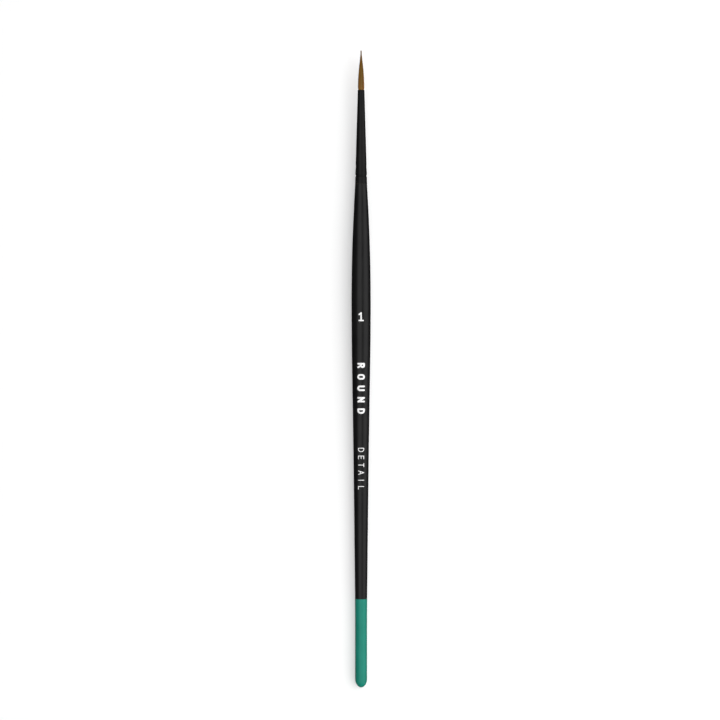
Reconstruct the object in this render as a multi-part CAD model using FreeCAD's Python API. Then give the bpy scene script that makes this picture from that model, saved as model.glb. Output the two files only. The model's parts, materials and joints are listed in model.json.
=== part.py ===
import FreeCAD, Part
import math
import os

# A fine detail brush, size 1 round, in millimetres.
# It lies along X with its hair towards +X and its dipped tail towards -X. The printed side faces +Z.
# The origin is at the middle of its length, on the surface that the belly of the handle lies on.

# Lengths along the brush
overall_length = 185.0
hair_out = 11.56            # hair that shows past the ferrule's mouth
ferrule_length = 27.3
dip_length = 25.65          # the dipped tail, its dome included
tail_taper = 9.0            # from the dip's front edge to the straight stretch of the tail
dome_length = 2.5
belly_from_mouth = 61.14    # the thickest place of the handle

# Radii
belly_r = 2.79
handle_front_r = 1.73       # where the handle meets the ferrule
handle_tail_r = 1.745       # where the handle goes under the dip
tail_r = 1.685              # the straight last stretch of the tail, under the dip
ferrule_mouth_r = 0.975
ferrule_rear_r = 1.745
tuft_r = 0.94               # thickest place of the hair
hair_point_r = 0.11
hair_fall = 1.4             # exponent of the tuft's outline: more makes a hollower point

# Thicknesses
ferrule_wall = 0.16
glue_film = 0.04
lacquer_coat = 0.05
dip_coat = 0.03
ink_coat = 0.03

# Rolled rings round the ferrule, front to back: distance from its rear edge, width and depth.
# The bead between the two grooves stands out, so its depth is negative.
wide_crimp = (4.95, 2.1, 0.05)
bead = (3.3, 1.0, -0.03)
narrow_crimp = (2.38, 0.8, 0.15)

# Inside the ferrule, measured back from its mouth
bundle_r = ferrule_mouth_r - ferrule_wall
thread_start = 7.8
thread_turns = 9
thread_r = 0.1
root_depth = 12.0           # how far the hair goes in
resin_front = 10.2
resin_back = 15.0
tenon_front = 15.2

# Hinge places in the hair, measured out from the mouth, and the gap between its slices
hair_pivots = (1.3, 3.4, 5.3, 7.1)
slice_gap = 0.03
ball_ratio = 1.25           # radius of a slice's domed end over the hair's radius at its hinge

# Just outside the mouth the hair swells to its full width, along an arc through a place
# this far out and this much wider than the bundle inside
swell_length = 0.6
swell_middle = (0.25, 0.085)

# Printing: cap height, stroke width and place of each mark, measured back from the belly
numeral_size = (2.6, 0.42)
numeral_start = 5.8
word_size = (2.2, 0.52)
word_pitch = 3.3
word_start = 17.2
detail_size = (1.75, 0.2)
detail_pitch = 2.2
detail_start = 42.2

x_tip = overall_length / 2
x_tail = -x_tip
x_mouth = x_tip - hair_out
x_rear = x_mouth - ferrule_length
x_belly = x_mouth - belly_from_mouth
x_dip = x_tail + dip_length
x_pin = x_dip - tail_taper
x_dome = x_tail + dome_length
axis_height = belly_r

# Side of the handle: distance along the brush, radius, and how far the stretch to the next point bows out
handle_outline = (
    (x_rear, handle_front_r, 0.028),
    (x_rear - 13.4, 2.38, 0.103),
    (x_belly, belly_r, 0.058),
    (x_belly - 23.2, 2.56, 0),
    (x_belly - 46.4, 2.2, 0),
    (x_dip, handle_tail_r, 0),
)

AXIS = FreeCAD.Vector(1, 0, 0)


def point(x, r):
    """A point of a half section: x along the brush, r out from its axis."""
    return FreeCAD.Vector(x, r, 0)


def line(a, b):
    return Part.LineSegment(point(*a), point(*b)).toShape()


def arc(a, middle, b):
    return Part.Arc(point(*a), point(*middle), point(*b)).toShape()


def spaced(start, stop):
    """Five evenly spaced values, enough for a smooth curve through them."""
    return [start + (stop - start) * i / 4 for i in range(5)]


def spline(stations):
    curve = Part.BSplineCurve()
    curve.interpolate([point(x, r) for x, r in stations])
    return curve.toShape()


def turned(edges):
    """Spin a closed half section round the brush's axis."""
    face = Part.Face(Part.Wire(Part.__sortEdges__(edges)))
    solid = face.revolve(FreeCAD.Vector(0, 0, 0), AXIS, 360)
    solid.translate(FreeCAD.Vector(0, 0, axis_height))
    return solid


# ---------------------------------------------------------------- ferrule


def cone_r(x):
    """Outside radius of the plain cone of the ferrule."""
    share = (x_mouth - x) / ferrule_length
    return ferrule_mouth_r + share * (ferrule_rear_r - ferrule_mouth_r)


def crimped_line(x_front, x_back, inset):
    """The ferrule's side from front to back with its rolled rings, moved in towards the axis."""
    edges = []
    x = x_front
    for from_rear, width, depth in (wide_crimp, bead, narrow_crimp):
        middle = x_rear + from_rear
        start = middle + width / 2
        stop = middle - width / 2
        edges.append(line((x, cone_r(x) - inset), (start, cone_r(start) - inset)))
        deepest = (middle, cone_r(middle) - inset - depth)
        edges.append(arc((start, cone_r(start) - inset), deepest, (stop, cone_r(stop) - inset)))
        x = stop
    edges.append(line((x, cone_r(x) - inset), (x_back, cone_r(x_back) - inset)))
    return edges


def ferrule():
    """Thin seamless tube with a burnished, rounded mouth."""
    half = ferrule_wall / 2
    x_rim = x_mouth - half
    outside = crimped_line(x_rim, x_rear, 0)
    inside = crimped_line(x_rim, x_rear, ferrule_wall)
    rim_r = cone_r(x_rim)
    rim = arc((x_rim, rim_r), (x_mouth, rim_r - half), (x_rim, rim_r - ferrule_wall))
    back = line((x_rear, ferrule_rear_r), (x_rear, ferrule_rear_r - ferrule_wall))
    return turned(outside + inside + [rim, back])


def handle_glue():
    """Adhesive film between the handle's tenon and the ferrule."""
    x_front = x_mouth - tenon_front
    near = crimped_line(x_front, x_rear, ferrule_wall)
    far = crimped_line(x_front, x_rear, ferrule_wall + glue_film)
    wall_r = cone_r(x_front) - ferrule_wall
    front = line((x_front, wall_r), (x_front, wall_r - glue_film))
    rear_r = ferrule_rear_r - ferrule_wall
    back = line((x_rear, rear_r), (x_rear, rear_r - glue_film))
    return turned(near + far + [front, back])


# ---------------------------------------------------------------- handle


def bowed_r(share, r_start, r_stop, bow):
    """Radius part of the way along a stretch whose middle bows out."""
    return r_start + share * (r_stop - r_start) + 4 * bow * share * (1 - share)


def handle_line(inset):
    """Side of the handle from the ferrule to the dip, moved in towards the axis."""
    edges = []
    for (x, r, bow), (x_next, r_next, _) in zip(handle_outline, handle_outline[1:]):
        if bow:
            stations = []
            for share in spaced(0, 1):
                stations.append((x + share * (x_next - x), bowed_r(share, r, r_next, bow) - inset))
            edges.append(spline(stations))
        else:
            edges.append(line((x, r - inset), (x_next, r_next - inset)))
    return edges


def dome(side_r, inset):
    """Rounded tail: a quarter of an ellipse from the side down to the axis."""
    centre = point(x_dome, 0)
    along = point(x_tail + inset, 0)
    side = point(x_dome, side_r)
    ellipse = Part.Ellipse(along, side, centre)
    if ellipse.MajorRadius < side_r:
        raise ValueError("the dome is shorter than its radius")
    edge = Part.Edge(ellipse, 0, math.pi / 2)
    if abs(edge.valueAt(math.pi / 2).y - side_r) > 1e-6:
        edge = Part.Edge(ellipse, 3 * math.pi / 2, 2 * math.pi)
    return edge


def tail_line(inset):
    """Side of the tail under the dip: a slight taper, then straight to the dome."""
    straight_r = tail_r - inset
    return [
        line((x_dip, handle_tail_r - inset), (x_pin, straight_r)),
        line((x_pin, straight_r), (x_dome, straight_r)),
    ]


def coated_side(inset):
    """Whole side of the handle under a coat: shoulder to tail, the dome included."""
    return handle_line(inset) + tail_line(inset) + [dome(tail_r - inset, dip_coat + inset)]


def black_lacquer():
    """Lacquer coat all over the handle behind the ferrule."""
    outside = coated_side(0)
    inside = coated_side(lacquer_coat)
    front = line((x_rear, handle_front_r), (x_rear, handle_front_r - lacquer_coat))
    back = line((x_tail + dip_coat, 0), (x_tail + dip_coat + lacquer_coat, 0))
    return turned(outside + inside + [front, back])


def handle_core():
    """Turned hardwood handle with the tenon that the crimps grip."""
    inset = ferrule_wall + glue_film
    x_front = x_mouth - tenon_front
    edges = crimped_line(x_front, x_rear, inset)
    edges.append(line((x_rear, ferrule_rear_r - inset), (x_rear, handle_front_r - lacquer_coat)))
    edges += coated_side(lacquer_coat)
    x_end = x_tail + dip_coat + lacquer_coat
    edges.append(line((x_end, 0), (x_front, 0)))
    edges.append(line((x_front, 0), (x_front, cone_r(x_front) - inset)))
    return turned(edges)


def dipped_end():
    """Dip coat over the tail: a rounded front lip, a slight taper, a cylinder and a domed end."""
    outer_r = tail_r + dip_coat
    lip = dip_coat
    lip_end = (x_dip - lip, handle_tail_r + lip)
    edges = [
        arc((x_dip, handle_tail_r), (x_dip - 0.3 * lip, handle_tail_r + 0.7 * lip), lip_end),
        line(lip_end, (x_pin, outer_r)),
        line((x_pin, outer_r), (x_dome, outer_r)),
        dome(outer_r, 0),
        line((x_tail, 0), (x_tail + dip_coat, 0)),
        dome(tail_r, dip_coat),
    ]
    return turned(edges + tail_line(0))


# ---------------------------------------------------------------- hair


def hair_r(out):
    """Radius of the pointed round tuft at a distance out from the mouth."""
    share = out / hair_out
    return tuft_r * (1 - share**2) ** hair_fall + hair_point_r * share


def ball_r(pivot):
    return ball_ratio * hair_r(pivot)


def edge_of_ball(pivot, radius):
    """Distance out at which a ball round a hinge meets the side of the tuft."""
    low = pivot
    high = pivot + radius
    for _ in range(60):
        middle = (low + high) / 2
        if math.hypot(middle - pivot, hair_r(middle)) < radius:
            low = middle
        else:
            high = middle
    return low


def hair_side(start, stop):
    """Side of the tuft between two distances out from the mouth."""
    return spline([(x_mouth + out, hair_r(out)) for out in spaced(start, stop)])


def ball_arc(pivot, radius, stop):
    """Part of a ball round a hinge, from the side of the tuft to the axis."""
    half = 0.5 * math.asin(hair_r(stop) / radius)
    middle = (x_mouth + pivot + radius * math.cos(half), radius * math.sin(half))
    return arc((x_mouth + stop, hair_r(stop)), middle, (x_mouth + pivot + radius, 0))


def tuft_roots():
    """Root ends of the hair: tied and set in the ferrule, out to the first hinge."""
    pivot = hair_pivots[0]
    radius = ball_r(pivot)
    stop = edge_of_ball(pivot, radius)
    x_back = x_mouth - root_depth
    middle = (x_mouth + swell_middle[0], bundle_r + swell_middle[1])
    edges = [
        line((x_back, 0), (x_back, bundle_r)),
        line((x_back, bundle_r), (x_mouth, bundle_r)),
        arc((x_mouth, bundle_r), middle, (x_mouth + swell_length, hair_r(swell_length))),
        hair_side(swell_length, stop),
        ball_arc(pivot, radius, stop),
        line((x_mouth + pivot + radius, 0), (x_back, 0)),
    ]
    return turned(edges)


def tuft_slice(number):
    """Hair between two hinges: hollow behind, domed in front, so it turns without touching its neighbour."""
    pivot = hair_pivots[number]
    hollow = ball_r(pivot) + slice_gap
    start = edge_of_ball(pivot, hollow)
    last = number + 1 == len(hair_pivots)
    if last:
        stop = hair_out - hair_point_r
        x_nose = x_tip
        bend = hair_point_r * math.sqrt(0.5)
        nose = arc((x_mouth + stop, hair_r(stop)), (x_mouth + stop + bend, bend), (x_nose, 0))
    else:
        after = hair_pivots[number + 1]
        stop = edge_of_ball(after, ball_r(after))
        x_nose = x_mouth + after + ball_r(after)
        nose = ball_arc(after, ball_r(after), stop)
    edges = [
        ball_arc(pivot, hollow, start),
        hair_side(start, stop),
        nose,
        line((x_nose, 0), (x_mouth + pivot + hollow, 0)),
    ]
    return turned(edges)


def binding_thread():
    """Thread wound tight round the hair inside the ferrule: its outline is one half round for each turn."""
    x = x_mouth - thread_start
    edges = []
    for _ in range(thread_turns):
        crest = (x - thread_r, bundle_r + 2 * thread_r)
        edges.append(arc((x, bundle_r + thread_r), crest, (x - 2 * thread_r, bundle_r + thread_r)))
        x -= 2 * thread_r
    edges.append(line((x, bundle_r + thread_r), (x, bundle_r)))
    edges.append(line((x, bundle_r), (x_mouth - thread_start, bundle_r)))
    edges.append(line((x_mouth - thread_start, bundle_r), (x_mouth - thread_start, bundle_r + thread_r)))
    return turned(edges)


def resin_plug():
    """Resin that fills the ferrule round and behind the root end of the hair."""
    x_front = x_mouth - resin_front
    x_roots = x_mouth - root_depth
    x_back = x_mouth - resin_back
    edges = [
        line((x_front, bundle_r), (x_front, cone_r(x_front) - ferrule_wall)),
        line((x_front, cone_r(x_front) - ferrule_wall), (x_back, cone_r(x_back) - ferrule_wall)),
        line((x_back, cone_r(x_back) - ferrule_wall), (x_back, 0)),
        line((x_back, 0), (x_roots, 0)),
        line((x_roots, 0), (x_roots, bundle_r)),
        line((x_roots, bundle_r), (x_front, bundle_r)),
    ]
    return turned(edges)


# ---------------------------------------------------------------- printing

# Each sign is a list of strokes on a square whose side is the cap height. A stroke is a line between
# two points, or an arc given by its centre, radius, and first and last angle in degrees.
SIGNS = {
    "1": [((0.06, 0.8), (0.3, 1)), ((0.3, 1), (0.3, 0)), ((0.04, 0), (0.56, 0))],
    "A": [((0, 0), (0.33, 1)), ((0.33, 1), (0.66, 0)), ((0.12, 0.34), (0.54, 0.34))],
    "D": [
        ((0, 0), (0, 1)),
        ((0, 1), (0.22, 1)),
        (0.22, 0.6, 0.4, 0, 90),
        ((0.62, 0.6), (0.62, 0.4)),
        (0.22, 0.4, 0.4, 270, 360),
        ((0.22, 0), (0, 0)),
    ],
    "E": [((0, 0), (0, 1)), ((0, 1), (0.54, 1)), ((0, 0.5), (0.46, 0.5)), ((0, 0), (0.54, 0))],
    "I": [((0, 0), (0, 1))],
    "L": [((0, 1), (0, 0)), ((0, 0), (0.5, 0))],
    "N": [((0, 0), (0, 1)), ((0, 1), (0.62, 0)), ((0.62, 0), (0.62, 1))],
    "O": [
        (0.33, 0.67, 0.33, 0, 180),
        ((0, 0.67), (0, 0.33)),
        (0.33, 0.33, 0.33, 180, 360),
        ((0.66, 0.33), (0.66, 0.67)),
    ],
    "R": [
        ((0, 0), (0, 1)),
        ((0, 1), (0.3, 1)),
        (0.3, 0.74, 0.26, -90, 90),
        ((0.3, 0.48), (0, 0.48)),
        ((0.3, 0.48), (0.6, 0)),
    ],
    "T": [((0, 1), (0.6, 1)), ((0.3, 1), (0.3, 0))],
    "U": [((0, 1), (0, 0.32)), (0.32, 0.32, 0.32, 180, 360), ((0.64, 0.32), (0.64, 1))],
}
PRISM_HEIGHT = 3 * belly_r


def disc(x, y, radius):
    return Part.makeCylinder(radius, PRISM_HEIGHT, FreeCAD.Vector(x, y, 0))


def straight_stroke(a, b, half):
    """Upright prism of a straight stroke with round ends."""
    length = math.dist(a, b)
    side = (-(b[1] - a[1]) / length * half, (b[0] - a[0]) / length * half)
    corners = [
        FreeCAD.Vector(a[0] + side[0], a[1] + side[1], 0),
        FreeCAD.Vector(b[0] + side[0], b[1] + side[1], 0),
        FreeCAD.Vector(b[0] - side[0], b[1] - side[1], 0),
        FreeCAD.Vector(a[0] - side[0], a[1] - side[1], 0),
    ]
    bar = Part.Face(Part.makePolygon(corners + corners[:1])).extrude(FreeCAD.Vector(0, 0, PRISM_HEIGHT))
    return [bar, disc(a[0], a[1], half), disc(b[0], b[1], half)]


def round_stroke(centre, radius, first, last, half):
    """Upright prism of an arc-shaped stroke."""
    base = FreeCAD.Vector(centre[0], centre[1], 0)
    up = FreeCAD.Vector(0, 0, 1)
    outer = Part.makeCylinder(radius + half, PRISM_HEIGHT, base, up, last - first)
    outer.rotate(base, up, first)
    return [outer.cut(Part.makeCylinder(radius - half, PRISM_HEIGHT, base))]


def sign_prism(sign, size):
    """Upright prism of one sign: its lower left corner at the origin, and its text direction +X."""
    height, stroke = size
    span = height - stroke
    pieces = []
    for shape in SIGNS[sign]:
        if len(shape) == 2:
            ends = [(x * span, y * span) for x, y in shape]
            pieces += straight_stroke(ends[0], ends[1], stroke / 2)
        else:
            x, y, radius, first, last = shape
            pieces += round_stroke((x * span, y * span), radius * span, first, last, stroke / 2)
    return pieces[0].multiFuse(pieces[1:]).removeSplitter()


def sign_width(sign, size):
    """Width of a sign between the middles of its outer strokes."""
    far = 0
    for shape in SIGNS[sign]:
        if len(shape) == 2:
            far = max(far, shape[0][0], shape[1][0])
        else:
            far = max(far, shape[0] + shape[2])
    return far * (size[0] - size[1])


def handle_r(x):
    """Radius of the handle at a distance along the brush."""
    for (x_front, r_front, bow), (x_back, r_back, _) in zip(handle_outline, handle_outline[1:]):
        if x_back <= x <= x_front:
            return bowed_r((x_front - x) / (x_front - x_back), r_front, r_back, bow)
    raise ValueError("not on the lacquered stretch of the handle")


def inked(prism):
    """The ink of one sign: its upright prism cut down to a thin skin on the handle."""
    box = prism.BoundBox
    ends = [(x, handle_r(x)) for x in (box.XMax, box.XMin)]
    outside = [(x, r + ink_coat) for x, r in ends]
    skin = turned([line(*ends), line(*outside), line(ends[0], outside[0]), line(ends[1], outside[1])])
    return prism.common(skin)


def size_numeral():
    """Size number, upright when the hair points up, so its top faces +X."""
    prism = sign_prism("1", numeral_size)
    span = numeral_size[0] - numeral_size[1]
    prism.translate(FreeCAD.Vector(-0.3 * span, -span / 2, axis_height))
    prism.rotate(FreeCAD.Vector(0, 0, 0), FreeCAD.Vector(0, 0, 1), -90)
    prism.translate(FreeCAD.Vector(x_belly - numeral_start + span / 2, 0, 0))
    return inked(prism)


def printed_word(word, size, pitch, start):
    """Word that reads from the hair towards the tail, with the tops of its letters towards -Y."""
    span = size[0] - size[1]
    letters = []
    for place, sign in enumerate(word):
        prism = sign_prism(sign, size)
        prism.translate(FreeCAD.Vector(-sign_width(sign, size) / 2, -span / 2, axis_height))
        prism.rotate(FreeCAD.Vector(0, 0, 0), FreeCAD.Vector(0, 0, 1), 180)
        prism.translate(FreeCAD.Vector(x_belly - start - pitch * (place + 0.5), 0, 0))
        letters.append(inked(prism))
    return Part.makeCompound(letters)


def parts():
    return {
        "handle_core": handle_core(),
        "black_lacquer": black_lacquer(),
        "dipped_end": dipped_end(),
        "ferrule": ferrule(),
        "handle_glue": handle_glue(),
        "resin_plug": resin_plug(),
        "binding_thread": binding_thread(),
        "tuft_roots": tuft_roots(),
        "tuft_heel": tuft_slice(0),
        "tuft_belly": tuft_slice(1),
        "tuft_taper": tuft_slice(2),
        "tuft_point": tuft_slice(3),
        "size_numeral": size_numeral(),
        "type_word": printed_word("ROUND", word_size, word_pitch, word_start),
        "detail_word": printed_word("DETAIL", detail_size, detail_pitch, detail_start),
    }


os.makedirs("parts", exist_ok=True)
for node, shape in parts().items():
    shape.exportStep(f"parts/{node}.step")
    print(f"{node}: {len(shape.Solids)} solid(s), {shape.Volume:.4f} mm3, valid {shape.isValid()}")
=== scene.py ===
import json
import math

import bpy
import numpy as np
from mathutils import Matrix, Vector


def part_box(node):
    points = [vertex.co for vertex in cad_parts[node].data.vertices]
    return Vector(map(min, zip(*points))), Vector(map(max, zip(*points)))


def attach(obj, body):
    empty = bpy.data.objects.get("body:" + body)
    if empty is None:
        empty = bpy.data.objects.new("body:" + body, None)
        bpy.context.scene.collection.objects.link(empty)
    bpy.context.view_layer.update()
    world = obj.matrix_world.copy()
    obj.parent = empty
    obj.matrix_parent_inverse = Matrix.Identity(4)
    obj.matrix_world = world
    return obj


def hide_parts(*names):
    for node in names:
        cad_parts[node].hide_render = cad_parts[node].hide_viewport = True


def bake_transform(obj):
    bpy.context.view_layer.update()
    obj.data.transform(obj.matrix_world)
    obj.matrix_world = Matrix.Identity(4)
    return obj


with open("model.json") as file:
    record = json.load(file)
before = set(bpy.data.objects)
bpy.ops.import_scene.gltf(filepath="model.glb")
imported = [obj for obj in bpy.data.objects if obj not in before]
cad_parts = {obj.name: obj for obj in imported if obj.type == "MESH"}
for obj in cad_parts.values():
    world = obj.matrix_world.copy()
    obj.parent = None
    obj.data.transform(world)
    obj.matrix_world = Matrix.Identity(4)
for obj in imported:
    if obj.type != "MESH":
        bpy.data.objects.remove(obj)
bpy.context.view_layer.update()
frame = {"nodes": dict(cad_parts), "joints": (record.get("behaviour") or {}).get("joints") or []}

MM = 0.001

# ------------------------------------------------------------------ places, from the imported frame

lacquer_low, lacquer_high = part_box("black_lacquer")
dip_low, dip_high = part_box("dipped_end")
ferrule_low, ferrule_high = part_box("ferrule")
X_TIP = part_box("tuft_point")[1].x

AXIS_Z = (lacquer_low.z + lacquer_high.z) / 2
BELLY_R = (lacquer_high.z - lacquer_low.z) / 2
DIP_LIP_R = (dip_high.z - dip_low.z) / 2
FERRULE_REAR_R = (ferrule_high.z - ferrule_low.z) / 2
X_MOUTH = ferrule_high.x
X_REAR = ferrule_low.x
X_DIP = dip_high.x
X_TAIL = dip_low.x
X_BELLY = X_MOUTH - 61.14 * MM  # thickest place of the handle
X_PIN = X_DIP - 9 * MM          # where the dipped tail becomes a plain cylinder
X_DOME = X_TAIL + 2.5 * MM      # where its domed end begins
TAIL_R = 1.715 * MM             # the plain cylinder, dip coat included
HANDLE_FRONT_R = 1.73 * MM      # lacquered handle, against the ferrule
HANDLE_TAIL_R = 1.745 * MM      # lacquered handle, where the dip begins
COAT = 0.05 * MM                # thickness of the lacquer
MOUTH_R = 0.975 * MM            # ferrule, outside its mouth
WALL = 0.16 * MM                # wall of the ferrule

# The hair bends at these places along X. Joint n joins body n to body n + 1.
PIVOTS = [joint["pos_m"][0] for joint in frame["joints"]]

rng = np.random.default_rng(20)


# ------------------------------------------------------------------ mesh helpers


def add_mesh(name, points, faces, material, body=None):
    """Smooth mesh piece. It rides on body, when one is given."""
    mesh = bpy.data.meshes.new(name)
    mesh.from_pydata([tuple(p) for p in points], [], faces)
    mesh.validate()
    mesh.polygons.foreach_set("use_smooth", [True] * len(mesh.polygons))
    mesh.materials.append(material)
    piece = bpy.data.objects.new(name, mesh)
    bpy.context.scene.collection.objects.link(piece)
    if body:
        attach(piece, body)
    return piece


def lathe(name, outline, material, segments=128, body="handle"):
    """Turned piece on the brush's axis. outline is (x, radius) points; a radius of 0 is a pole."""
    points = []
    rings = []
    for x, r in outline:
        if r == 0:
            rings.append([len(points)])
            points.append((x, 0, AXIS_Z))
            continue
        rings.append(range(len(points), len(points) + segments))
        for i in range(segments):
            turn = 2 * math.pi * i / segments
            points.append((x, r * math.cos(turn), AXIS_Z + r * math.sin(turn)))
    faces = []
    for a, b in zip(rings, rings[1:]):
        for i in range(segments):
            j = (i + 1) % segments
            if len(a) == 1:
                faces.append((a[0], b[j], b[i]))
            elif len(b) == 1:
                faces.append((a[i], a[j], b[0]))
            else:
                faces.append((a[i], a[j], b[j], b[i]))
    piece = add_mesh(name, points, faces, material, body)
    piece.data.set_sharp_from_angle(angle=math.radians(35))
    return piece


def blend_in(low, high, x):
    """0 up to low, 1 from high on, and a smooth rise between."""
    t = min(1, max(0, (x - low) / (high - low)))
    return t * t * (3 - 2 * t)


# ------------------------------------------------------------------ materials


class Shader:
    """A material built node by node, with its Principled shader ready."""

    def __init__(self, name):
        self.material = bpy.data.materials.new(name)
        self.material.use_nodes = True
        self.tree = self.material.node_tree
        self.surface = self.tree.nodes["Principled BSDF"]
        self.place = self.add("ShaderNodeTexCoord").outputs["Object"]

    def add(self, kind, **settings):
        node = self.tree.nodes.new(kind)
        for key, value in settings.items():
            setattr(node, key, value)
        return node

    def link(self, source, target):
        self.tree.links.new(source, target)

    def set(self, **values):
        """Uniform numbers on the Principled shader; an underscore stands for a space."""
        for key, value in values.items():
            self.surface.inputs[key.replace("_", " ")].default_value = value

    def stretched(self, scale):
        """Object coordinates scaled along each axis, for a pattern that runs one way."""
        mapping = self.add("ShaderNodeMapping")
        mapping.inputs["Scale"].default_value = scale
        self.link(self.place, mapping.inputs["Vector"])
        return mapping.outputs["Vector"]

    def noise(self, scale, detail, vector=None):
        node = self.add("ShaderNodeTexNoise")
        node.inputs["Scale"].default_value = scale
        node.inputs["Detail"].default_value = detail
        self.link(vector or self.place, node.inputs["Vector"])
        return node.outputs["Fac"]

    def ramp(self, factor, stops):
        node = self.add("ShaderNodeValToRGB")
        elements = node.color_ramp.elements
        while len(elements) < len(stops):
            elements.new(0.5)
        for element, (place, colour) in zip(elements, stops):
            element.position = place
            element.color = (*colour, 1)
        self.link(factor, node.inputs["Fac"])
        return node.outputs["Color"]

    def to_range(self, factor, low, high, from_low=0.3, from_high=0.7):
        node = self.add("ShaderNodeMapRange")
        node.inputs["From Min"].default_value = from_low
        node.inputs["From Max"].default_value = from_high
        node.inputs["To Min"].default_value = low
        node.inputs["To Max"].default_value = high
        self.link(factor, node.inputs["Value"])
        return node.outputs["Result"]

    def multiply(self, a, b):
        """Colour a times colour b. The node's colour sockets are 6 and 7, and its colour result is 2."""
        node = self.add("ShaderNodeMix", data_type="RGBA", blend_type="MULTIPLY")
        node.inputs["Factor"].default_value = 1
        self.link(a, node.inputs[6])
        self.link(b, node.inputs[7])
        return node.outputs[2]

    def bump(self, height, strength, distance, normal=None):
        node = self.add("ShaderNodeBump")
        node.inputs["Strength"].default_value = strength
        node.inputs["Distance"].default_value = distance
        self.link(height, node.inputs["Height"])
        if normal:
            self.link(normal, node.inputs["Normal"])
        return node.outputs["Normal"]


def lacquer_material():
    """Satin black lacquer over turned wood: faint long ripples and orange peel."""
    s = Shader("satin_black_lacquer")
    s.set(IOR=1.5)
    drift = s.noise(160, 3)
    black = s.ramp(drift, [(0.3, (0.0048, 0.0048, 0.0052)), (0.7, (0.0072, 0.0071, 0.0072))])
    s.link(black, s.surface.inputs["Base Color"])
    polish = s.noise(900, 4, s.stretched((0.25, 1, 1)))
    s.link(s.to_range(polish, 0.31, 0.4), s.surface.inputs["Roughness"])
    # two heights of bump, in metres: the turned wood below, the sprayed coat above
    ripple = s.noise(260, 2, s.stretched((0.3, 1, 1)))
    peel = s.noise(2600, 2)
    low = s.bump(ripple, 0.25, 0.00002)
    s.link(s.bump(peel, 0.12, 0.000008, low), s.surface.inputs["Normal"])
    return s.material


def ferrule_material():
    """Black painted metal with fine turning lines round it."""
    s = Shader("black_painted_ferrule")
    s.set(IOR=1.4)
    drift = s.noise(300, 3)
    black = s.ramp(drift, [(0.3, (0.0034, 0.0033, 0.0034)), (0.7, (0.0062, 0.006, 0.006))])
    s.link(black, s.surface.inputs["Base Color"])
    lines = s.noise(1, 2, s.stretched((9000, 60, 60)))
    s.link(s.to_range(lines, 0.36, 0.46), s.surface.inputs["Roughness"])
    s.link(s.bump(lines, 0.1, 0.000006), s.surface.inputs["Normal"])
    return s.material


def dip_material():
    """Blue-green enamel: the tail was dipped in it, so it is smooth with a soft sag."""
    s = Shader("blue_green_dip")
    s.set(IOR=1.46)
    drift = s.noise(220, 3)
    enamel = s.ramp(drift, [(0.25, (0.005, 0.192, 0.137)), (0.75, (0.008, 0.22, 0.162))])
    s.link(enamel, s.surface.inputs["Base Color"])
    polish = s.noise(1200, 3)
    s.link(s.to_range(polish, 0.3, 0.38), s.surface.inputs["Roughness"])
    sag = s.noise(330, 2, s.stretched((0.4, 1, 1)))
    s.link(s.bump(sag, 0.2, 0.00002), s.surface.inputs["Normal"])
    return s.material


def ink_material():
    """White pad-printed ink, a little uneven."""
    s = Shader("white_print")
    s.set(IOR=1.45)
    cover = s.noise(3500, 4)
    white = s.ramp(cover, [(0.3, (0.72, 0.72, 0.72)), (0.6, (0.9, 0.9, 0.9))])
    s.link(white, s.surface.inputs["Base Color"])
    s.link(s.to_range(cover, 0.5, 0.65), s.surface.inputs["Roughness"])
    s.link(s.bump(cover, 0.2, 0.00001), s.surface.inputs["Normal"])
    return s.material


def hair_material():
    """Brown hair: colour changes from the ferrule to the point, from lock to lock and from hair to hair."""
    s = Shader("brown_hair")
    s.set(IOR=1.38, Specular_IOR_Level=0.22)
    along = s.add("ShaderNodeAttribute", attribute_name="along").outputs["Fac"]
    shade = s.add("ShaderNodeAttribute", attribute_name="shade").outputs["Fac"]
    lock = s.add("ShaderNodeAttribute", attribute_name="lock").outputs["Fac"]
    length_colour = s.ramp(along, [
        (0.0, (0.22, 0.11, 0.026)),
        (0.15, (0.186, 0.096, 0.024)),
        (0.45, (0.152, 0.08, 0.0155)),
        (0.7, (0.14, 0.066, 0.0105)),
        (1.0, (0.14, 0.069, 0.013)),
    ])
    lock_colour = s.ramp(lock, [(0.0, (1.12, 0.93, 0.7)), (1.0, (0.86, 1.02, 1.2))])
    hair_colour = s.ramp(shade, [
        (0.0, (0.5, 0.48, 0.45)),
        (0.5, (0.95, 0.94, 0.92)),
        (1.0, (1.6, 1.58, 1.52)),
    ])
    colour = s.multiply(s.multiply(length_colour, lock_colour), hair_colour)
    s.link(colour, s.surface.inputs["Base Color"])
    s.link(s.to_range(shade, 0.38, 0.52, 0, 1), s.surface.inputs["Roughness"])
    return s.material


def wood_material():
    """Hardwood under the lacquer, with its grain along the handle."""
    s = Shader("turned_hardwood")
    grain = s.noise(900, 5, s.stretched((0.05, 1, 1)))
    timber = s.ramp(grain, [(0.3, (0.42, 0.26, 0.13)), (0.7, (0.62, 0.44, 0.26))])
    s.link(timber, s.surface.inputs["Base Color"])
    s.link(s.to_range(grain, 0.5, 0.7), s.surface.inputs["Roughness"])
    s.link(s.bump(grain, 0.3, 0.00002), s.surface.inputs["Normal"])
    return s.material


def adhesive_material(name, pale, dark):
    """Set glue or resin, a little cloudy."""
    s = Shader(name)
    blush = s.noise(800, 3)
    s.link(s.ramp(blush, [(0.3, dark), (0.7, pale)]), s.surface.inputs["Base Color"])
    s.link(s.to_range(blush, 0.2, 0.35), s.surface.inputs["Roughness"])
    return s.material


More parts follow.
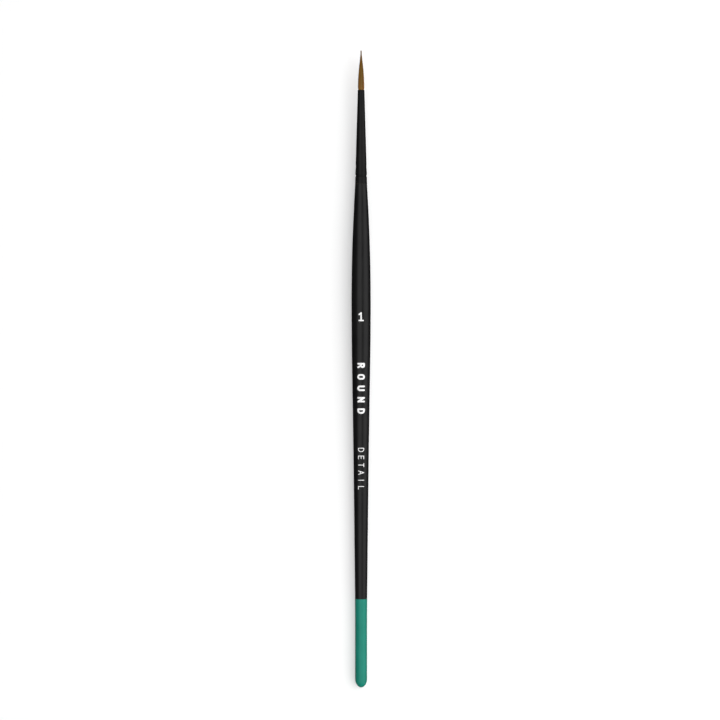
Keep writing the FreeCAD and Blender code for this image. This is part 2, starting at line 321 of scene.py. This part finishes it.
def thread_material():
    """Cotton thread with its twist."""
    s = Shader("binding_thread")
    twist = s.noise(1, 2, s.stretched((4000, 9000, 9000)))
    cotton = s.ramp(twist, [(0.3, (0.5, 0.47, 0.4)), (0.7, (0.72, 0.7, 0.62))])
    s.link(cotton, s.surface.inputs["Base Color"])
    s.link(s.to_range(twist, 0.7, 0.9), s.surface.inputs["Roughness"])
    s.link(s.bump(twist, 0.5, 0.00002), s.surface.inputs["Normal"])
    return s.material


FLOOR_FULL = 0.17  # the floor is solid this far out from the origin
FLOOR_REACH = 0.6  # and has faded away here


def floor_material():
    """Pale floor that fades out away from the brush, so it shows no far edge."""
    s = Shader("pale_floor")
    tone = s.noise(3, 2)
    pale = s.ramp(tone, [(0.3, (0.905, 0.905, 0.905)), (0.7, (0.915, 0.915, 0.915))])
    s.link(pale, s.surface.inputs["Base Color"])
    s.set(Roughness=0.9)
    away = s.add("ShaderNodeVectorMath", operation="LENGTH")
    s.link(s.place, away.inputs[0])
    fade = s.to_range(away.outputs["Value"], 1, 0, FLOOR_FULL, FLOOR_REACH)
    s.link(fade, s.surface.inputs["Alpha"])
    return s.material


def give(node, material):
    """A CAD node keeps its shape and takes a finished material."""
    mesh = frame["nodes"][node].data
    mesh.materials.clear()
    mesh.materials.append(material)


# ------------------------------------------------------------------ handle, dip and ferrule


def handle_radius(x):
    """Side of the lacquered handle, in stretches that each start at a place with a radius and a bow."""
    outline = (
        (X_REAR, HANDLE_FRONT_R, 0.028 * MM),
        (X_REAR - 13.4 * MM, 2.38 * MM, 0.103 * MM),
        (X_BELLY, BELLY_R, 0.058 * MM),
        (X_BELLY - 23.2 * MM, 2.56 * MM, 0),
        (X_BELLY - 46.4 * MM, 2.2 * MM, 0),
        (X_DIP, HANDLE_TAIL_R, 0),
    )
    for (front, r_front, bow), (back, r_back, _) in zip(outline, outline[1:]):
        if back <= x:
            share = min(1, max(0, (front - x) / (front - back)))
            return r_front + share * (r_back - r_front) + 4 * bow * share * (1 - share)
    return outline[-1][1]


def soft_handle_radius(x):
    """The same side with its small changes of slope eased by a weighted mean of its surroundings."""
    room = min(3.5 * MM, X_REAR - x, x - X_DIP)
    if room <= 0:
        return handle_radius(x)
    return sum(handle_radius(x + room * k / 4) * (5 - abs(k)) for k in range(-4, 5)) / 25


def lacquered_handle(material):
    """Lacquer coat from the ferrule to just under the dip, open at both hidden ends."""
    steps = 150
    edge = 0.03 * MM
    x_front = X_REAR - edge
    x_back = X_DIP - 0.4 * MM
    outline = [
        (X_REAR - 0.001 * MM, HANDLE_FRONT_R - COAT),
        (X_REAR - 0.004 * MM, HANDLE_FRONT_R - 0.02 * MM),
    ]
    for i in range(steps + 1):
        x = x_front - (x_front - X_DIP) * i / steps
        outline.append((x, soft_handle_radius(x)))
    outline.append((x_back, dip_under(x_back)))
    outline.append((x_back, HANDLE_TAIL_R - COAT))
    piece = lathe("lacquered_handle", outline, material)
    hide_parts("black_lacquer")
    return piece


def dip_under(x):
    """Side of the lacquered tail at x, kept a little clear of the dip coat over it."""
    share = min(1, (X_DIP - x) / (X_DIP - X_PIN))
    return HANDLE_TAIL_R + share * (TAIL_R - DIP_LIP_R) - 0.005 * MM


def dipped_tail(material):
    """Dip coat with a slightly swollen front edge, a slight taper, a straight stretch and a domed end."""
    lip = 0.05 * MM
    lip_steps, side_steps, dome_steps = 8, 40, 24
    outline = [(X_DIP, HANDLE_TAIL_R - 0.01 * MM)]
    for k in range(1, lip_steps + 1):
        turn = math.pi / 2 * k / lip_steps
        x = X_DIP - lip * (1 - math.cos(turn))
        outline.append((x, HANDLE_TAIL_R + (DIP_LIP_R - HANDLE_TAIL_R) * math.sin(turn)))
    x_lip = X_DIP - lip
    for i in range(1, side_steps + 1):
        x = x_lip - (x_lip - X_DOME) * i / side_steps
        # the second half of the smooth rise: the slope eases out towards the cylinder
        eased = blend_in(-1, 1, (x_lip - x) / (x_lip - X_PIN)) * 2 - 1
        outline.append((x, DIP_LIP_R + (TAIL_R - DIP_LIP_R) * eased))
    for k in range(1, dome_steps):
        turn = math.pi / 2 * k / dome_steps
        outline.append((X_DOME - (X_DOME - X_TAIL) * math.sin(turn), TAIL_R * math.cos(turn)))
    outline.append((X_TAIL, 0))
    piece = lathe("dipped_tail", outline, material)
    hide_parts("dipped_end")
    return piece


# Rings rolled into the ferrule, in mm: how far from its rear, how wide and how deep.
WIDE_GROOVE = (4.95, 2.1, 0.05)
BEAD = (3.3, 1.0, -0.03)
NARROW_GROOVE = (2.38, 0.8, 0.15)


def ferrule_radius(x):
    """Outside of the tapered tube with its rings."""
    share = (X_MOUTH - x) / (X_MOUTH - X_REAR)
    r = MOUTH_R + share * (FERRULE_REAR_R - MOUTH_R)
    for from_rear, width, depth in (WIDE_GROOVE, BEAD, NARROW_GROOVE):
        off = abs(x - X_REAR - from_rear * MM) / (width / 2 * MM)
        if off < 1:
            r -= depth * MM * (0.5 + 0.5 * math.cos(math.pi * off))
    return r


def ferrule_tube(material):
    """Outside of the tube, its rounded rear edge and mouth, and the first 2 mm of its bore."""
    half = WALL / 2
    edge = 0.03 * MM
    rim = X_MOUTH - half
    side_steps, edge_steps, mouth_steps = 400, 6, 12
    outline = []
    for i in range(side_steps):
        x = rim - (rim - X_REAR - edge) * i / side_steps
        outline.append((x, ferrule_radius(x)))
    for k in range(edge_steps + 1):
        turn = math.pi / 2 * k / edge_steps
        x = X_REAR + edge * (1 - math.sin(turn))
        outline.append((x, ferrule_radius(X_REAR + edge) - edge * (1 - math.cos(turn))))
    outline.reverse()
    r_rim = ferrule_radius(rim)
    for k in range(1, mouth_steps):
        turn = math.pi * k / mouth_steps
        outline.append((rim + half * math.sin(turn), r_rim - half + half * math.cos(turn)))
    outline.append((rim - 2 * MM, r_rim - WALL + 0.05 * MM))
    piece = lathe("ferrule_tube", outline, material)
    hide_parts("ferrule")
    return piece


# ------------------------------------------------------------------ hair

HAIR_OUT = X_TIP - X_MOUTH
HAIR_ROOT = X_MOUTH - 1.2 * MM  # the visible hair begins this deep in the ferrule
TUFT_R = 0.94 * MM              # thickest place of the bundle
POINT_R = 0.11 * MM             # what the bundle keeps of its thickness at the tip
WISP_R = 0.19 * MM              # the last hairs run on side by side, no thinner than this
MOUTH_INNER_R = MOUTH_R - WALL
HAIR_END_R = 0.0015 * MM        # a hair's own sharp end
HAIR_SIDES = 6

# Hairs from the skin of the bundle inwards: how many, and between which shares of its radius.
LAYERS = ((140, 0.975, 1.0), (120, 0.85, 0.95), (110, 0.5, 0.82), (70, 0.05, 0.5))


def tuft_radius(x):
    """Radius of the tuft: it leaves the mouth, swells a little, and runs to a fine, blunt wisp."""
    share = min(1, max(0, (x - X_MOUTH) / HAIR_OUT))
    r = max(WISP_R, TUFT_R * (1 - share**2) ** 1.4 + POINT_R * share)
    swell = blend_in(X_MOUTH - 0.1 * MM, X_MOUTH + 0.7 * MM, x)
    return MOUTH_INNER_R + (r - MOUTH_INNER_R) * swell


def strands():
    """Where each hair stands in the bundle, and its end, thickness, colour and waviness."""
    made = []
    for count, low, high in LAYERS:
        for i in range(count):
            rho = rng.uniform(low, high)
            turn = 2 * math.pi * (i + rng.uniform(-0.45, 0.45)) / count
            reach = 1 - 0.36 * rng.beta(1.0, 3.4)
            if (count, low, high) == LAYERS[-1]:
                reach = 1 - 0.03 * rng.random()  # the innermost hairs make the point
            lock = 0.5 - 0.5 * math.cos(5 * turn + 0.7) + rng.normal(0, 0.2)
            made.append({
                "rho": rho,
                "turn": turn,
                "lock": float(np.clip(lock, 0, 1)),
                "end": X_MOUTH + HAIR_OUT * reach,
                "thick": rng.uniform(0.031, 0.043) * MM,
                "shade": float(np.clip(rng.normal(0.5, 0.22), 0, 1)),
                "wave": rng.uniform(0, 2 * math.pi, 3),
                "sway": rng.uniform(0.01, 0.05),
            })
    return made


def hair_point(strand, x):
    """Middle and radius of one hair at x."""
    t = min(1, max(0, (x - HAIR_ROOT) / (strand["end"] - HAIR_ROOT)))
    radius = strand["thick"] * (1 - t**5) ** 0.8 + 0.004 * MM
    a, b, c = strand["wave"]
    out = (x - X_MOUTH) / HAIR_OUT
    turn = strand["turn"] + strand["sway"] * (math.sin(4 * out + a) + 0.5 * math.sin(9 * out + b))
    rho = strand["rho"] * (1 - 0.01 * (1 + math.sin(6 * out + c)))
    away = max(0, rho * (tuft_radius(x) - radius))
    return away * math.cos(turn), AXIS_Z + away * math.sin(turn), radius


def add_looks(piece, looks):
    """Numbers on every point that the hair's material reads."""
    for key, values in looks.items():
        attribute = piece.data.attributes.new(key, "FLOAT", "POINT")
        attribute.data.foreach_set("value", values)


def hair_piece(name, strand_list, x_start, x_stop, rings, material):
    """All the hair between two places along the brush, as one mesh of thin tapered tubes.

    A tube is open where the next piece carries it on, so that the shading runs through the cut."""
    points = []
    faces = []
    looks = {"along": [], "shade": [], "lock": []}
    for strand in strand_list:
        stop = min(x_stop, strand["end"])
        if stop - x_start < 0.02 * MM:
            continue
        ends_here = strand["end"] <= x_stop
        first = len(points)
        for i in range(rings + 1):
            x = x_start + (stop - x_start) * i / rings
            y, z, radius = hair_point(strand, x)
            if ends_here and i == rings:
                radius = HAIR_END_R
            for k in range(HAIR_SIDES):
                turn = 2 * math.pi * (k + 0.5 * (i % 2)) / HAIR_SIDES
                points.append((x, y + radius * math.cos(turn), z + radius * math.sin(turn)))
            looks["along"] += [(x - X_MOUTH) / HAIR_OUT] * HAIR_SIDES
            looks["shade"] += [strand["shade"]] * HAIR_SIDES
            looks["lock"] += [strand["lock"]] * HAIR_SIDES
        for i in range(rings):
            for k in range(HAIR_SIDES):
                a = first + i * HAIR_SIDES + k
                b = first + i * HAIR_SIDES + (k + 1) % HAIR_SIDES
                faces.append((a, b, b + HAIR_SIDES, a + HAIR_SIDES))
        if ends_here:
            faces.append(tuple(first + rings * HAIR_SIDES + k for k in range(HAIR_SIDES)))
    piece = add_mesh(name, points, faces, material)
    add_looks(piece, looks)
    return piece


def hair_heart(name, x_start, x_stop, steps, material):
    """Solid middle of the bundle behind the outer hairs, coloured darker as painted shade for the inside of
    the bundle.
    """
    outline = []
    for i in range(steps + 1):
        x = x_start + (x_stop - x_start) * i / steps
        outline.append((x, max(0.9 * tuft_radius(x) - 0.03 * MM, 0.004 * MM)))
    outline = [(x_start, 0)] + outline + [(x_stop, 0)]
    piece = lathe(name, outline, material, segments=32, body=None)
    count = len(piece.data.vertices)
    places = [(v.co.x - X_MOUTH) / HAIR_OUT for v in piece.data.vertices]
    # A shade value of 0.2 darkens the middle through the hair ramp: painted shade for the bundle's inside,
    # where the outer hairs keep out the light.
    add_looks(piece, {"along": places, "shade": [0.2] * count, "lock": [0.5] * count})
    return piece


def tuft(material):
    """The hair in four pieces, cut halfway between the joints."""
    strand_list = strands()
    cuts = [HAIR_ROOT]
    cuts += [(a + b) / 2 for a, b in zip(PIVOTS, PIVOTS[1:])]
    cuts.append(X_TIP)
    pieces = (
        ("heel", 12, ("tuft_roots",)),
        ("belly", 9, ("tuft_heel",)),
        ("taper", 9, ("tuft_belly",)),
        ("point", 20, ("tuft_taper", "tuft_point")),
    )
    for number, (name, rings, nodes) in enumerate(pieces):
        x_start, x_stop = cuts[number], cuts[number + 1]
        hairs = hair_piece(f"{name}_hairs", strand_list, x_start, x_stop, rings, material)
        heart_stop = min(x_stop, X_TIP - 0.25 * MM)
        heart = hair_heart(f"{name}_heart", x_start, heart_stop, rings, material)
        for piece in (hairs, heart):
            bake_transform(piece)
        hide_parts(*nodes)


# ------------------------------------------------------------------ stage, lights and camera

LIGHT_LENGTH = 2.4  # of every softbox, along the brush
FIELD = 209.06 * MM  # what the picture spans at the brush's axis
LOOK_AT = (2.55 * MM, 0.322 * MM)


def stage_floor(material):
    """Floor that the belly of the handle and the underside of the tail both rest on."""
    slope = (AXIS_Z - TAIL_R) / (X_BELLY - X_DOME)
    drop = 0.01 * MM
    points = []
    for across, along in ((-1, -1), (1, -1), (1, 1), (-1, 1)):
        x, y = across * FLOOR_REACH, along * FLOOR_REACH
        points.append((x, y, -(x - X_BELLY) * slope - drop))
    floor = add_mesh("floor", points, [(0, 1, 2, 3)], material)
    floor.visible_glossy = False
    return floor


def area_light(name, from_vertical, distance, width, radiance):
    """Softbox over the brush. from_vertical is in degrees, towards -Y."""
    turn = math.radians(from_vertical)
    data = bpy.data.lights.new(name, "AREA")
    data.shape = "RECTANGLE"
    data.size = LIGHT_LENGTH
    data.size_y = width
    data.energy = radiance * math.pi * width * LIGHT_LENGTH
    light = bpy.data.objects.new(name, data)
    light.location = (0, -distance * math.sin(turn), distance * math.cos(turn))
    light.rotation_euler = (turn, 0, 0)
    bpy.context.scene.collection.objects.link(light)
    return light


def softboxes():
    """The key light casts the shadow, the two side fills are what the lacquer reflects."""
    key = area_light("key_softbox", 33, 1.0, 1.1, 1.2)
    room = area_light("room_fill", 5, 1.2, 0.9, 1.3)
    room.data.cycles.use_multiple_importance_sampling = False
    for unseen in (key, room):
        unseen.visible_glossy = False
    left = area_light("left_fill", -18, 1.2, 1.17, 0.72)
    right = area_light("right_fill", 61, 1.2, 1.36, 0.68)
    for soft in (room, left, right):
        soft.data.use_shadow = False


def surroundings():
    """White where the camera looks past the floor, nearly dark for everything else."""
    world = bpy.data.worlds.new("studio")
    bpy.context.scene.world = world
    world.use_nodes = True
    nodes = world.node_tree.nodes
    links = world.node_tree.links
    background = nodes["Background"]
    background.inputs["Color"].default_value = (1, 1, 1, 1)
    seen = nodes.new("ShaderNodeLightPath")
    level = nodes.new("ShaderNodeMapRange")
    level.inputs["To Min"].default_value = 0.02
    level.inputs["To Max"].default_value = 1.0
    links.new(seen.outputs["Is Camera Ray"], level.inputs["Value"])
    links.new(level.outputs["Result"], background.inputs["Strength"])
    bpy.context.scene.view_settings.view_transform = "Standard"


def camera():
    """Long lens straight above the brush, with its hair towards the top of the picture."""
    data = bpy.data.cameras.new("camera")
    data.lens = 200
    data.sensor_width = 36
    distance = FIELD / 2 / (data.sensor_width / 2 / data.lens)
    data.clip_start = 0.05
    data.clip_end = 30
    seen = bpy.data.objects.new("camera", data)
    seen.location = (*LOOK_AT, AXIS_Z + distance)
    seen.rotation_euler = (0, 0, -math.pi / 2)
    bpy.context.scene.collection.objects.link(seen)
    bpy.context.scene.camera = seen


# ------------------------------------------------------------------ build

give("handle_core", wood_material())
give("handle_glue", adhesive_material("glue_film", (0.7, 0.6, 0.4), (0.6, 0.5, 0.3)))
give("resin_plug", adhesive_material("amber_resin", (0.45, 0.26, 0.08), (0.3, 0.16, 0.04)))
give("binding_thread", thread_material())
ink = ink_material()
for node in ("size_numeral", "type_word", "detail_word"):
    give(node, ink)
lacquered_handle(lacquer_material())
dipped_tail(dip_material())
ferrule_tube(ferrule_material())
tuft(hair_material())
stage_floor(floor_material())
softboxes()
surroundings()
camera()
